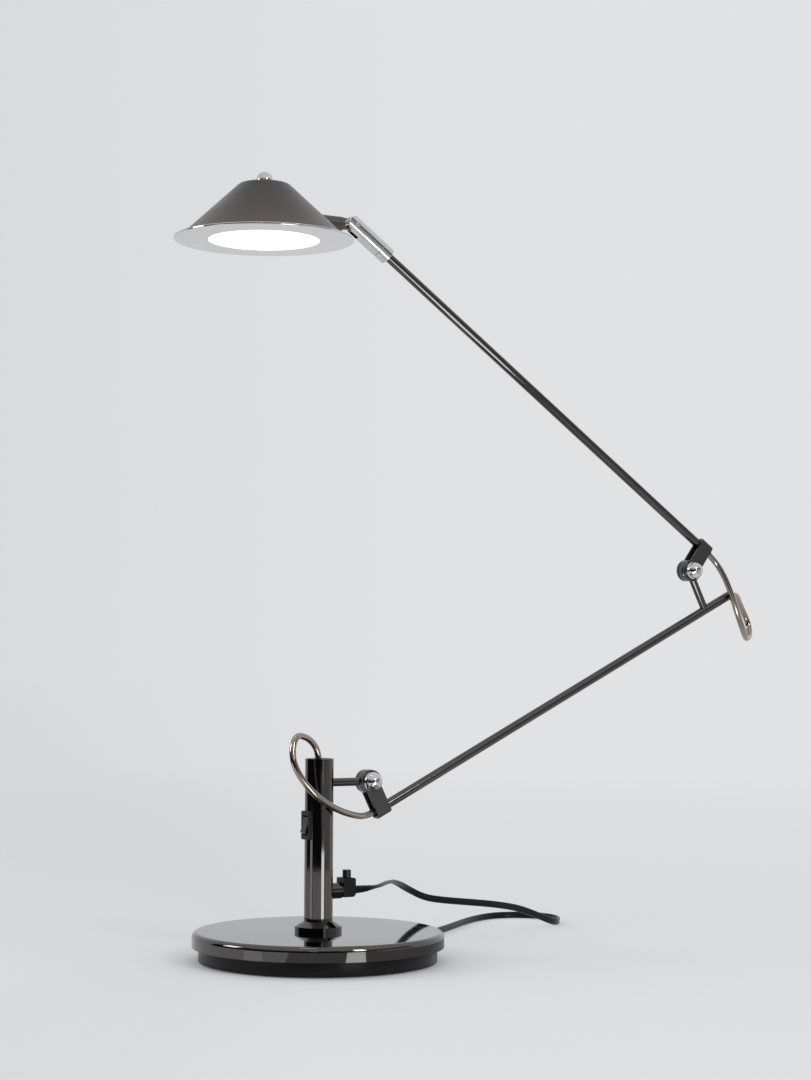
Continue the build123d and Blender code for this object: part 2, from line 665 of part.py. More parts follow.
def cable_loops():
    """The two cable loops, straight out of one housing and straight into the next."""
    shoulder = [
        *SHOULDER_LOOP,
        tuple(point_in(LOWER, SHOULDER_LOOP_MOUTH, 0)),
        tuple(point_in(LOWER, SHOULDER_LOOP_END, 0)),
    ]
    elbow = [
        tuple(point_in(UPPER, ELBOW_LOOP_START, 0)),
        tuple(point_in(UPPER, ELBOW_LOOP_MOUTH, 0)),
        *ELBOW_LOOP,
        tuple(point_in(LOWER, ELBOW_LOOP_FAR_MOUTH, 0)),
        tuple(point_in(LOWER, ELBOW_LOOP_END, 0)),
    ]
    return {
        "shoulder_cable": cord("shoulder_cable", shoulder, CABLE_R),
        "elbow_cable": cord("elbow_cable", elbow, CABLE_R),
    }


def hinge_pieces():
    """The collar and the sleeve on the arm's end, the sleeve's fork, and the pin through it."""
    collar_end = END_COLLAR_START + END_COLLAR_LONG
    collar = tube(SLEEVE_R, TUBE_R + FIT, (END_COLLAR_START, 0, 0), (collar_end, 0, 0))
    collar = chamfer(collar.edges().filter_by(GeomType.CIRCLE).sort_by(SortBy.RADIUS)[-2:], END_COLLAR_EDGE)
    sleeve_start = collar_end + SLEEVE_GAP
    sleeve = rod(SLEEVE_R, (sleeve_start, 0, 0), (HINGE_REACH, 0, 0))
    ball_end = across(SLEEVE_R, HINGE_REACH, 0, -SLEEVE_R, SLEEVE_R)
    sleeve += ball_end & rod(SLEEVE_R, (HINGE_REACH, 0, 0), (HINGE_REACH + SLEEVE_R, 0, 0))
    sleeve -= rod(SLEEVE_BORE_R, (sleeve_start - PAST, 0, 0), (SLEEVE_BORE_END, 0, 0))
    sleeve -= block(
        (HINGE_REACH - FORK_SLOT_DEPTH, -FORK_SLOT_HALF, -SLEEVE_R - PAST),
        (HINGE_REACH + SLEEVE_R + PAST, FORK_SLOT_HALF, SLEEVE_R + PAST),
    )
    sleeve -= across(HINGE_PIN_R + FIT, HINGE_REACH, 0, -SLEEVE_R - PAST, SLEEVE_R + PAST)
    pin = across(HINGE_PIN_R, HINGE.X, HINGE.Z, -HINGE_PIN_HALF_LONG, HINGE_PIN_HALF_LONG)
    return {"end_collar": UPPER * collar, "head_sleeve": UPPER * sleeve, "hinge_pin": pin}


def tongue_and_stub():
    """The tongue in the fork, and the dark stub that carries it out of the shade."""
    stub_end = HINGE.X - HEAD_STUB_GAP
    tongue = across(TONGUE_R, HINGE.X, HINGE.Z, -TONGUE_HALF, TONGUE_HALF)
    tongue += block(
        (stub_end, -TONGUE_HALF, HINGE.Z - TONGUE_HALF_TALL),
        (HINGE.X, TONGUE_HALF, HINGE.Z + TONGUE_HALF_TALL),
    )
    thread_end = stub_end - TONGUE_THREAD_LONG
    tongue += rod(STUB_THREAD_R, (thread_end, 0, HINGE.Z), (stub_end + TONGUE_SHOULDER, 0, HINGE.Z))
    tongue -= across(HINGE_PIN_R + BOLT_RUN, HINGE.X, HINGE.Z, -TONGUE_HALF - PAST, TONGUE_HALF + PAST)
    start = HEAD.origin.X + HEAD_STUB_START
    shaft = rod(HEAD_STUB_R, (start, 0, HINGE.Z), (stub_end, 0, HINGE.Z))
    shaft = fillet(shaft.edges().filter_by(GeomType.CIRCLE).group_by(Axis.X)[-1], HEAD_STUB_EDGE)
    shaft -= rod(STUB_HOLE_R, (thread_end - LOOSE, 0, HINGE.Z), (stub_end + PAST, 0, HINGE.Z))
    return {"hinge_tongue": tongue, "head_stub": shaft}


def shade():
    """The cone with its rounded shoulder, open below, with holes for the stub and the finial's stud."""
    run = SHADE_FOOT_R - SHADE_SHOULDER_R
    rise = SHADE_TOP - RIM_THICK
    slope = math.hypot(run, rise)
    side = SHADE_WALL * slope / rise
    corner = SHADE_WALL * (slope - run) / rise
    cone = lathe(
        (FINIAL_STUD_R + LOOSE, SHADE_TOP),
        (SHADE_SHOULDER_R, SHADE_TOP),
        (SHADE_FOOT_R, RIM_THICK),
        (SHADE_FOOT_R - side, RIM_THICK),
        (SHADE_SHOULDER_R - corner, SHADE_TOP - SHADE_WALL),
        (FINIAL_STUD_R + LOOSE, SHADE_TOP - SHADE_WALL),
    )
    for radius, size in (
        (SHADE_SHOULDER_R, SHADE_SHOULDER_FILLET),
        (SHADE_SHOULDER_R - corner, SHADE_SHOULDER_FILLET - SHADE_WALL),
    ):
        shoulder = cone.edges().filter_by(GeomType.CIRCLE).sort_by(lambda e, r=radius: abs(e.radius - r))[0]
        cone = fillet(shoulder, size)
    cone = HEAD * cone
    return cone - rod(HEAD_STUB_R + PLAY, (HEAD.origin.X, 0, HINGE.Z), (HINGE.X, 0, HINGE.Z))


def lamp_inside():
    """Inside the rim: the LED board, the heat sink over it, and the carrier for the stub and the shade."""
    board = rod(BOARD_R, (0, 0, BOARD_BOTTOM), (0, 0, BOARD_BOTTOM + BOARD_THICK))
    chips = []
    for number in range(CHIP_COUNT):
        x, y = on_circle(CHIP_RING_R, 360 * number / CHIP_COUNT)
        chips.append(
            block(
                (x - CHIP_HALF, y - CHIP_HALF, BOARD_BOTTOM - CHIP_THICK),
                (x + CHIP_HALF, y + CHIP_HALF, BOARD_BOTTOM),
            )
        )
    sink_bottom = BOARD_BOTTOM + BOARD_THICK
    sink = lathe(
        (0, sink_bottom),
        (RIM_LIP_R + PLAY, sink_bottom),
        (RIM_LIP_R + PLAY, SINK_SKIRT_BOTTOM),
        (SINK_R, SINK_SKIRT_BOTTOM),
        (SINK_R, SINK_TOP),
        (0, SINK_TOP),
    )
    carrier = rod(CARRIER_R, (0, 0, SINK_TOP), (0, 0, CARRIER_TOP))
    stub_hole = (HEAD_STUB_START - LOOSE, 0, RIM_DROP), (CARRIER_R + PAST, 0, RIM_DROP)
    carrier -= rod(HEAD_STUB_R + PLAY, *stub_hole)
    carrier -= rod(FINIAL_STUD_R + FIT, (0, 0, STUD_HOLE_BOTTOM), (0, 0, CARRIER_TOP + PAST))
    stud = rod(FINIAL_STUD_R, (0, 0, FINIAL_STUD_BOTTOM), (0, 0, FINIAL_CENTRE))
    return {
        "led_board": HEAD * board,
        "led_chips": HEAD * Compound(children=chips),
        "heat_sink": HEAD * sink,
        "lamp_carrier": HEAD * carrier,
        "finial_stud": HEAD * stud,
    }


def head_trim():
    """The chrome rim plate, the diffuser in it, and the ball on top of the shade."""
    rim = lathe(
        (RIM_OPENING_R, 0),
        (RIM_R, 0),
        (RIM_R, RIM_THICK),
        (RIM_LIP_R, RIM_THICK),
        (RIM_LIP_R, RIM_LIP_TOP),
        (RIM_OPENING_R, RIM_LIP_TOP),
    )
    edge = rim.edges().filter_by(GeomType.CIRCLE).sort_by(SortBy.RADIUS)[-2:]
    rim = fillet(edge, RIM_EDGE_R)
    diffuser = rod(DIFFUSER_R, (0, 0, DIFFUSER_BOTTOM), (0, 0, DIFFUSER_BOTTOM + DIFFUSER_THICK))
    ball = Pos(0, 0, FINIAL_CENTRE) * Sphere(FINIAL_R)
    ball &= block((-FINIAL_R, -FINIAL_R, SHADE_TOP), (FINIAL_R, FINIAL_R, FINIAL_CENTRE + FINIAL_R))
    ball -= rod(FINIAL_STUD_R + FIT, (0, 0, SHADE_TOP - PAST), (0, 0, FINIAL_CENTRE + LOOSE))
    return {"rim_plate": HEAD * rim, "diffuser": HEAD * diffuser, "finial": HEAD * ball}


def all_pieces():
    return {
        **base_pieces(),
        **base_fasteners(),
        **post_pieces(),
        **switch_pieces(),
        **mains_entry(),
        **cord_pieces(),
        **plug_pieces(),
        **shoulder_pieces(),
        **elbow_pieces(),
        **arm_pieces(),
        **cable_loops(),
        **hinge_pieces(),
        **tongue_and_stub(),
        "shade": shade(),
        **lamp_inside(),
        **head_trim(),
    }


os.makedirs("parts", exist_ok=True)
for name, solid in all_pieces().items():
    export_step(solid, f"parts/{name}.step")
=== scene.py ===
import math

import bmesh
import bpy
from mathutils import Matrix, Vector


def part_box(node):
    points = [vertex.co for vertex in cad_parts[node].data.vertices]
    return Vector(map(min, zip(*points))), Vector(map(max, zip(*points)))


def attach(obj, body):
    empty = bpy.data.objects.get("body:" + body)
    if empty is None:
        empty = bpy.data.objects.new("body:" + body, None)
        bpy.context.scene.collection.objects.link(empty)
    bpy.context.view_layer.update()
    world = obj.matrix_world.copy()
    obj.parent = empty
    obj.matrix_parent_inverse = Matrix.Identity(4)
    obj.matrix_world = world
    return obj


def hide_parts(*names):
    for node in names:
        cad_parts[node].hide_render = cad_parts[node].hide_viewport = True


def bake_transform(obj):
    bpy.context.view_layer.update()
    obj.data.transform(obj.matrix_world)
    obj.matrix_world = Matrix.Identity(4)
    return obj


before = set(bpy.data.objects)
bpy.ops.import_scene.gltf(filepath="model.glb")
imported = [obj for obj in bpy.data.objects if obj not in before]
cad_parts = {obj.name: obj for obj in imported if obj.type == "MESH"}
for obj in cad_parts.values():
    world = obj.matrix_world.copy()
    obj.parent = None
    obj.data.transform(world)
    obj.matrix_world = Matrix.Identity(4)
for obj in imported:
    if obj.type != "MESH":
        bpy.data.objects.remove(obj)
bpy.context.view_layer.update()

# ---------------------------------------------------------------- driving sizes, in metres if not said
SHOULDER = Vector((0.0467, 0.0, 0.1478))
LOWER_ANGLE = math.radians(26.7)
UPPER_ANGLE = math.radians(144.36)
TUBE_BELOW_PIVOT = 0.026
ELBOW_ALONG = 0.3843
ELBOW_UP = 0.0405
CABLE_RADIUS = 0.0028
CORD_WIDTH = 0.0062
CORD_THICK = 0.0030
CORD_WEB_SHARE = 0.36
COIL_CENTRE = Vector((0.1140, 0.1074, 0.0034))
COIL_FIRST_RADIUS = 0.0418
COIL_PITCH = 0.00325
COIL_START_DEG = -53.1
COIL_END_DEG = -120.0
COIL_FULL_TURNS = 5
COIL_POINTS_A_TURN = 16
COIL_WANDER = 0.00025
COIL_WANDER_RATE = 0.9
COIL_LAST_CLIMB = 0.0045
COIL_CLIMB_POINTS = 3
TIE_HEADING = math.radians(35.0)
TIE_FROM_CENTRE = 0.0325
TIE_HALF_WIDE = 0.0107
TIE_HALF_TALL = 0.0033
TIE_CORNER = 0.0016
TIE_CORNER_STEPS = 4
TIE_HALF_BAND = 0.003
TIE_EDGE = 0.0006
TIE_EDGE_DROP = 0.0005
CAMERA_PLACE = Vector((-0.8726, -1.6632, 0.2608))
CAMERA_RIGHT = Vector((0.8672, -0.4979, 0.0060))
CAMERA_FORWARD = Vector((0.4970, 0.8664, 0.0480))
LENS_MM = 74.67
SENSOR_HEIGHT_MM = 36.0
VIEW_NEAREST = 0.01
VIEW_FARTHEST = 100.0
STRAIGHT_UP = Vector((0, 0, 1))
SPLINE_STEPS = 14
SPLINE_ORDER = 3
CORD_STEP = 0.0015
CABLE_STEP = 0.001
ROUND_SIDES = 24
TWIN_SIDES = 36


# ---------------------------------------------------------------- camera, fitted to the lamp's own frame
def build_camera():
    """A camera in front of the lamp, nearly level, that looks slightly upwards."""
    forward = CAMERA_FORWARD.normalized()
    right = (CAMERA_RIGHT - forward * CAMERA_RIGHT.dot(forward)).normalized()
    up = right.cross(forward)
    data = bpy.data.cameras.new("camera")
    data.lens = LENS_MM
    data.sensor_fit = "VERTICAL"
    data.sensor_height = SENSOR_HEIGHT_MM
    data.clip_start = VIEW_NEAREST
    data.clip_end = VIEW_FARTHEST
    camera = bpy.data.objects.new("camera", data)
    bpy.context.collection.objects.link(camera)
    rotation = Matrix((right, up, -forward)).transposed().to_4x4()
    camera.matrix_world = Matrix.Translation(CAMERA_PLACE) @ rotation
    bpy.context.scene.camera = camera
    bpy.context.scene.view_settings.view_transform = "Standard"


build_camera()


# ---------------------------------------------------------------- curves and sweeps
def arm_point(foot_pivot, angle, along, up):
    """A point in an arm's frame: along the tube and up from its axis, which runs below the foot's pivot."""
    c, s = math.cos(angle), math.sin(angle)
    above = up - TUBE_BELOW_PIVOT
    return Vector((foot_pivot.x + along * c - above * s, 0.0, foot_pivot.z + along * s + above * c))


ELBOW = arm_point(SHOULDER, LOWER_ANGLE, ELBOW_ALONG, ELBOW_UP)


def object_from(name, bm):
    """Turn a finished bmesh into an object of that name."""
    mesh = bpy.data.meshes.new(name)
    bm.to_mesh(mesh)
    bm.free()
    obj = bpy.data.objects.new(name, mesh)
    bpy.context.collection.objects.link(obj)
    return obj


def spline_points(name, controls):
    """Points along the smooth NURBS line with these control points."""
    data = bpy.data.curves.new(name + "_line", "CURVE")
    data.dimensions = "3D"
    data.resolution_u = SPLINE_STEPS
    spline = data.splines.new("NURBS")
    spline.points.add(len(controls) - 1)
    for point, where in zip(spline.points, controls):
        point.co = (*where, 1.0)
    spline.order_u = SPLINE_ORDER
    spline.use_endpoint_u = True
    guide = bpy.data.objects.new(name + "_line", data)
    bpy.context.collection.objects.link(guide)
    bpy.context.view_layer.update()
    mesh = bpy.data.meshes.new_from_object(guide)
    points = [v.co.copy() for v in mesh.vertices]
    bpy.data.objects.remove(guide)
    bpy.data.meshes.remove(mesh)
    return points


def even_points(points, step):
    """The same line with its points about a step apart, and its length."""
    lengths = [0.0]
    for a, b in zip(points, points[1:]):
        lengths.append(lengths[-1] + (b - a).length)
    count = max(2, round(lengths[-1] / step))
    out, index = [], 0
    for number in range(count + 1):
        target = lengths[-1] * number / count
        while index < len(lengths) - 2 and lengths[index + 1] < target:
            index += 1
        span = max(lengths[index + 1] - lengths[index], 1e-9)
        out.append(points[index].lerp(points[index + 1], (target - lengths[index]) / span))
    return out, lengths[-1]


def tangents(path):
    """The line's direction at each of its points."""
    out = []
    for i in range(len(path)):
        a, b = path[max(0, i - 1)], path[min(len(path) - 1, i + 1)]
        out.append((b - a).normalized())
    return out


def carried_sides(path):
    """The line's directions, and a sideways vector for each of its points that is carried along unspun."""
    t = tangents(path)
    side = t[0].cross(Vector((0, 1, 0)))
    sides = []
    for tangent in t:
        side = (side - tangent * side.dot(tangent)).normalized()
        sides.append(side.copy())
    return t, sides


def sweep(name, path, outline, frames):
    """A mesh that follows the path. outline(i) gives the section's (x, y) points at point i, and frames(i)
    their two directions. Its UVs are metres along the path and the share of the way round the section."""
    bm = bmesh.new()
    uv = bm.loops.layers.uv.new("UVMap")
    rings, along = [], [0.0]
    for i, centre in enumerate(path):
        x_dir, y_dir = frames(i)
        rings.append([bm.verts.new(centre + x_dir * x + y_dir * y) for x, y in outline(i)])
        if i:
            along.append(along[-1] + (centre - path[i - 1]).length)
    count = len(rings[0])
    for i in range(len(rings) - 1):
        for j in range(count):
            k = (j + 1) % count
            face = bm.faces.new((rings[i][j], rings[i][k], rings[i + 1][k], rings[i + 1][j]))
            face.smooth = True
            corners = ((along[i], j), (along[i], j + 1), (along[i + 1], j + 1), (along[i + 1], j))
            for loop, (u, v) in zip(face.loops, corners):
                loop[uv].uv = (u, v / count)
    bm.faces.new(list(reversed(rings[0])))
    bm.faces.new(rings[-1])
    bmesh.ops.recalc_face_normals(bm, faces=bm.faces)
    return object_from(name, bm)


def round_outline(radius):
    angles = [2 * math.pi * j / ROUND_SIDES for j in range(ROUND_SIDES)]
    return [(radius * math.cos(angle), radius * math.sin(angle)) for angle in angles]


def twin_outline(width, thick):
    """Two round cores side by side with a shallow groove between them."""
    core, offset, web = thick / 2, (width - thick) / 2, thick * CORD_WEB_SHARE
    points = []
    for j in range(TWIN_SIDES):
        angle = 2 * math.pi * j / TWIN_SIDES
        x = width / 2 * math.cos(angle)
        reach = max(0.0, core * core - (abs(x) - offset) ** 2) ** 0.5
        if abs(x) < offset:
            reach = max(reach, web)
        points.append((x, math.copysign(reach, math.sin(angle))))
    return points


# ---------------------------------------------------------------- the mains cord
MAINS_ROUTE = [
    (0.022, 0.000, 0.0575),
    (0.042, 0.000, 0.0575),
    (0.062, 0.011, 0.0576),
    (0.081, 0.031, 0.0579),
    (0.098, 0.050, 0.0572),
    (0.114, 0.066, 0.0530),
    (0.131, 0.080, 0.0462),
    (0.151, 0.0835, 0.0368),
    (0.173, 0.0835, 0.0332),
    (0.198, 0.085, 0.0303),
    (0.231, 0.090, 0.0260),
    (0.260, 0.0965, 0.0205),
    (0.286, 0.1025, 0.0115),
    (0.307, 0.1065, 0.0034),
    (0.324, 0.123, 0.0034),
    (0.3285, 0.146, 0.0034),
    (0.319, 0.1675, 0.0034),
    (0.299, 0.1795, 0.0034),
    (0.275, 0.178, 0.0034),
    (0.241, 0.157, 0.0034),
    (0.200, 0.1215, 0.0034),
    (0.171, 0.0985, 0.0034),
    (0.146, 0.0800, 0.0034),
]
TAIL_POINTS = [
    (0.0905, 0.0925, 0.0090),
    (0.0800, 0.0985, 0.0092),
    (0.0670, 0.1060, 0.0085),
    (0.0575, 0.1115, 0.0070),
    (0.0480, 0.1170, 0.0068),
]
# The cord's wide side, in degrees above the horizontal, at distances along it in metres
CORD_ROLL = [
    (0.000, 74),
    (0.010, 70),
    (0.045, 16),
    (0.100, 10),
    (0.145, 52),
    (0.180, 80),
    (0.300, 84),
    (0.500, 90),
]
TAIL_FLAT = 0.075
TAIL_TURN = 0.03
# The ribbed sleeves on the cord: how much wider and thicker than the cord at their start and end, and how
# deep their grooves are
GRIP_RELIEF_FROM = 0.0075
GRIP_RELIEF_TO = 0.0305
GRIP_RELIEF_START = (0.0009, 0.00135)
GRIP_RELIEF_END = (0.0002, 0.0003)
GRIP_RELIEF_GROOVE = 0.0002
PLUG_RELIEF_LONG = 0.024
PLUG_RELIEF_START = (0.001, 0.001)
PLUG_RELIEF_END = (0.0035, 0.004)
PLUG_RELIEF_GROOVE = 0.0006


def coil_points():
    """The coil's turns, each inside the one before, with the last points lifted over the others."""
    turning = COIL_START_DEG - COIL_END_DEG + 360.0 * COIL_FULL_TURNS
    count = round(turning / 360.0 * COIL_POINTS_A_TURN)
    points = []
    for number in range(count + 1):
        share = number / count
        angle = math.radians(COIL_START_DEG - turning * share)
        radius = COIL_FIRST_RADIUS - COIL_PITCH * turning / 360.0 * share
        radius += COIL_WANDER * math.sin(number * COIL_WANDER_RATE)
        climb = COIL_LAST_CLIMB * max(0.0, (number - count + COIL_CLIMB_POINTS) / COIL_CLIMB_POINTS)
        points.append(COIL_CENTRE + Vector((radius * math.cos(angle), radius * math.sin(angle), climb)))
    return points


def eased(share):
    """A share from 0 to 1 that starts and ends gently."""
    held = min(1.0, max(0.0, share))
    return held * held * (3 - 2 * held)


def roll_at(distance, total):
    """How far the cord's wide side is turned at this distance: it lies flat again before the plug."""
    roll = CORD_ROLL[-1][1]
    for (d0, r0), (d1, r1) in zip(CORD_ROLL, CORD_ROLL[1:]):
        if distance < d1:
            roll = r0 + (r1 - r0) * eased((distance - d0) / (d1 - d0))
            break
    left = total - distance
    if left < TAIL_FLAT:
        roll = 90 * (1 - eased((TAIL_FLAT - left) / TAIL_TURN))
    return math.radians(roll)


def cord_directions(path, length):
    """A function that gives the section's wide and thin directions at a point of the cord."""
    t = tangents(path)
    step = length / (len(path) - 1)

    def directions(i):
        level = t[i].cross(STRAIGHT_UP).normalized()
        upright = level.cross(t[i])
        roll = roll_at(i * step, length)
        wide = level * math.cos(roll) + upright * math.sin(roll)
        return wide, t[i].cross(wide)

    return directions


def build_relief(name, path, directions, numbers, start, end, groove):
    """A ribbed sleeve on the cord's points of these numbers. start and end are how much wider and thicker
    than the cord it is there."""

    def outline(i):
        share = i / (len(numbers) - 1)
        depth = groove if (i // 2) % 2 else 0.0
        wide, thick = [a + (b - a) * share - depth for a, b in zip(start, end)]
        return twin_outline(CORD_WIDTH + wide, CORD_THICK + thick)

    return sweep(name, [path[i] for i in numbers], outline, lambda i: directions(numbers[i]))


def build_mains_cord():
    """The flat cord from its nipple to its plug, and the ribbed sleeves at both ends."""
    controls = [*MAINS_ROUTE, *coil_points(), *TAIL_POINTS]
    path, length = even_points(spline_points("mains_lead", controls), CORD_STEP)
    step = length / (len(path) - 1)
    directions = cord_directions(path, length)
    section = twin_outline(CORD_WIDTH, CORD_THICK)
    piece = sweep("mains_lead", path, lambda i: section, directions)
    first = [i for i in range(len(path)) if GRIP_RELIEF_FROM < i * step < GRIP_RELIEF_TO]
    last = [i for i in range(len(path)) if length - PLUG_RELIEF_LONG < i * step <= length]
    relief = build_relief(
        "cord_relief", path, directions, first, GRIP_RELIEF_START, GRIP_RELIEF_END, GRIP_RELIEF_GROOVE
    )
    plug_relief = build_relief(
        "plug_relief", path, directions, last, PLUG_RELIEF_START, PLUG_RELIEF_END, PLUG_RELIEF_GROOVE
    )
    return piece, relief, plug_relief, path, length


def tie_outline():
    """The band's rounded oblong, as (out, up) points."""
    points = []
    for sx, sz, start in ((1, 1, 0), (-1, 1, 90), (-1, -1, 180), (1, -1, 270)):
        for k in range(TIE_CORNER_STEPS + 1):
            angle = math.radians(start + 90 * k / TIE_CORNER_STEPS)
            x = sx * (TIE_HALF_WIDE - TIE_CORNER) + TIE_CORNER * math.cos(angle)
            z = sz * (TIE_HALF_TALL - TIE_CORNER) + TIE_CORNER * math.sin(angle)
            points.append((x, z))
    return points


def build_coil_tie():
    """A flat band round the coil's turns, with softened edges."""
    out = Vector((math.cos(TIE_HEADING), math.sin(TIE_HEADING), 0.0))
    along = Vector((-out.y, out.x, 0.0))
    middle = COIL_CENTRE + out * TIE_FROM_CENTRE
    flat_half = TIE_HALF_BAND - TIE_EDGE
    steps = (
        (-TIE_HALF_BAND, TIE_EDGE_DROP),
        (-flat_half, 0.0),
        (flat_half, 0.0),
        (TIE_HALF_BAND, TIE_EDGE_DROP),
    )
    bm = bmesh.new()
    rings = []
    for offset, drop in steps:
        ring = []
        for x, z in tie_outline():
            scale = 1.0 - drop / math.hypot(x, z)
            ring.append(bm.verts.new(middle + out * (x * scale) + STRAIGHT_UP * (z * scale) + along * offset))
        rings.append(ring)
    for a, b in zip(rings, rings[1:]):
        for j in range(len(a)):
            k = (j + 1) % len(a)
            bm.faces.new((a[j], a[k], b[k], b[j])).smooth = True
    bmesh.ops.recalc_face_normals(bm, faces=bm.faces)
    return object_from("coil_tie", bm)


lead, lead_relief, plug_relief, lead_path, lead_length = build_mains_cord()
coil_tie = build_coil_tie()
for piece in (lead, lead_relief, plug_relief, coil_tie):
    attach(piece, "base")
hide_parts("mains_cord", "cord_coil", "cord_tail")


# ---------------------------------------------------------------- the two cable loops
SHOULDER_ROUTE = [
    (0.0000, 0.0000, 0.1550),
    (0.0000, 0.0000, 0.1720),
    (-0.0110, -0.0035, 0.1850),
    (-0.0290, -0.0115, 0.1890),
    (-0.0345, -0.0160, 0.1700),
    (-0.0280, -0.0200, 0.1530),
    (-0.0130, -0.0205, 0.1378),
    (0.0060, -0.0165, 0.1270),
    (0.0260, -0.0090, 0.1208),
]
ELBOW_ROUTE = [
    (0.4198, -0.0043, 0.3310),
    (0.4265, -0.0080, 0.3125),
    (0.4330, -0.0090, 0.2935),
    (0.4405, -0.0075, 0.2785),
    (0.4500, -0.0005, 0.2700),
    (0.4610, 0.0080, 0.2750),
    (0.4620, 0.0128, 0.2875),
    (0.4525, 0.0120, 0.3025),
]
LOWER_FOOT_MOUTH = (-0.015, -0.001)
UPPER_FOOT_MOUTH = (0.003, -0.015)
LOWER_FAR_MOUTH = (0.424, 0.4075)


def build_cable(name, route):
    """A round cable along a route, with its line and length."""
    path, length = even_points(spline_points(name, route), CABLE_STEP)
    t, sides = carried_sides(path)
    section = round_outline(CABLE_RADIUS)
    piece = sweep(name, path, lambda i: section, lambda i: (sides[i], t[i].cross(sides[i])))
    return piece, path, length


def tube_points(foot_pivot, angle, *distances):
    """Points on a tube's axis at these distances along it, where a loop runs into its mouth."""
    return [arm_point(foot_pivot, angle, along, 0.0) for along in distances]


shoulder_route = [*SHOULDER_ROUTE, *tube_points(SHOULDER, LOWER_ANGLE, *LOWER_FOOT_MOUTH)]
elbow_route = [
    *tube_points(ELBOW, UPPER_ANGLE, *UPPER_FOOT_MOUTH),
    *ELBOW_ROUTE,
    *tube_points(SHOULDER, LOWER_ANGLE, *LOWER_FAR_MOUTH),
]
shoulder_loop, shoulder_path, shoulder_length = build_cable("shoulder_loop", shoulder_route)
elbow_loop, elbow_path, elbow_length = build_cable("elbow_loop", elbow_route)
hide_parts("shoulder_cable")
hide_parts("elbow_cable")
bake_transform(shoulder_loop)
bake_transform(elbow_loop)


# ---------------------------------------------------------------- materials
DUST_SCALE = 900.0
DUST_SIZE = 0.06
DUST_SHARE = 0.15
DUST_COLOUR = (0.32, 0.31, 0.30)
PEEL_SCALE = 420.0
FINE_DEEP = 0.0001
GRAIN_DEEP = 0.0002
# The diffuser's light is even out to the first radius, and dims from there to its edge, in metres
EVEN_TO = 0.036
DIFFUSER_RADIUS = 0.0463
# The numbers of a colour mix node's sockets, which share their names with its other data types
MIX_SHARE, MIX_FIRST, MIX_SECOND, MIX_RESULT = 0, 6, 7, 2


def feed(tree, socket, value):
    """Link a socket to an output, or set its value. A colour of three numbers gets an alpha of one."""
    if isinstance(value, bpy.types.NodeSocket):
        tree.links.new(value, socket)
    elif socket.type == "RGBA" and isinstance(value, tuple):
        socket.default_value = (*value, 1.0)
    else:
        socket.default_value = value


def vector_maths(tree, operation, *inputs):
    """A vector maths node fed with these inputs."""
    node = tree.nodes.new("ShaderNodeVectorMath")
    node.operation = operation
    for socket, value in zip(node.inputs, inputs):
        feed(tree, socket, value)
    return node


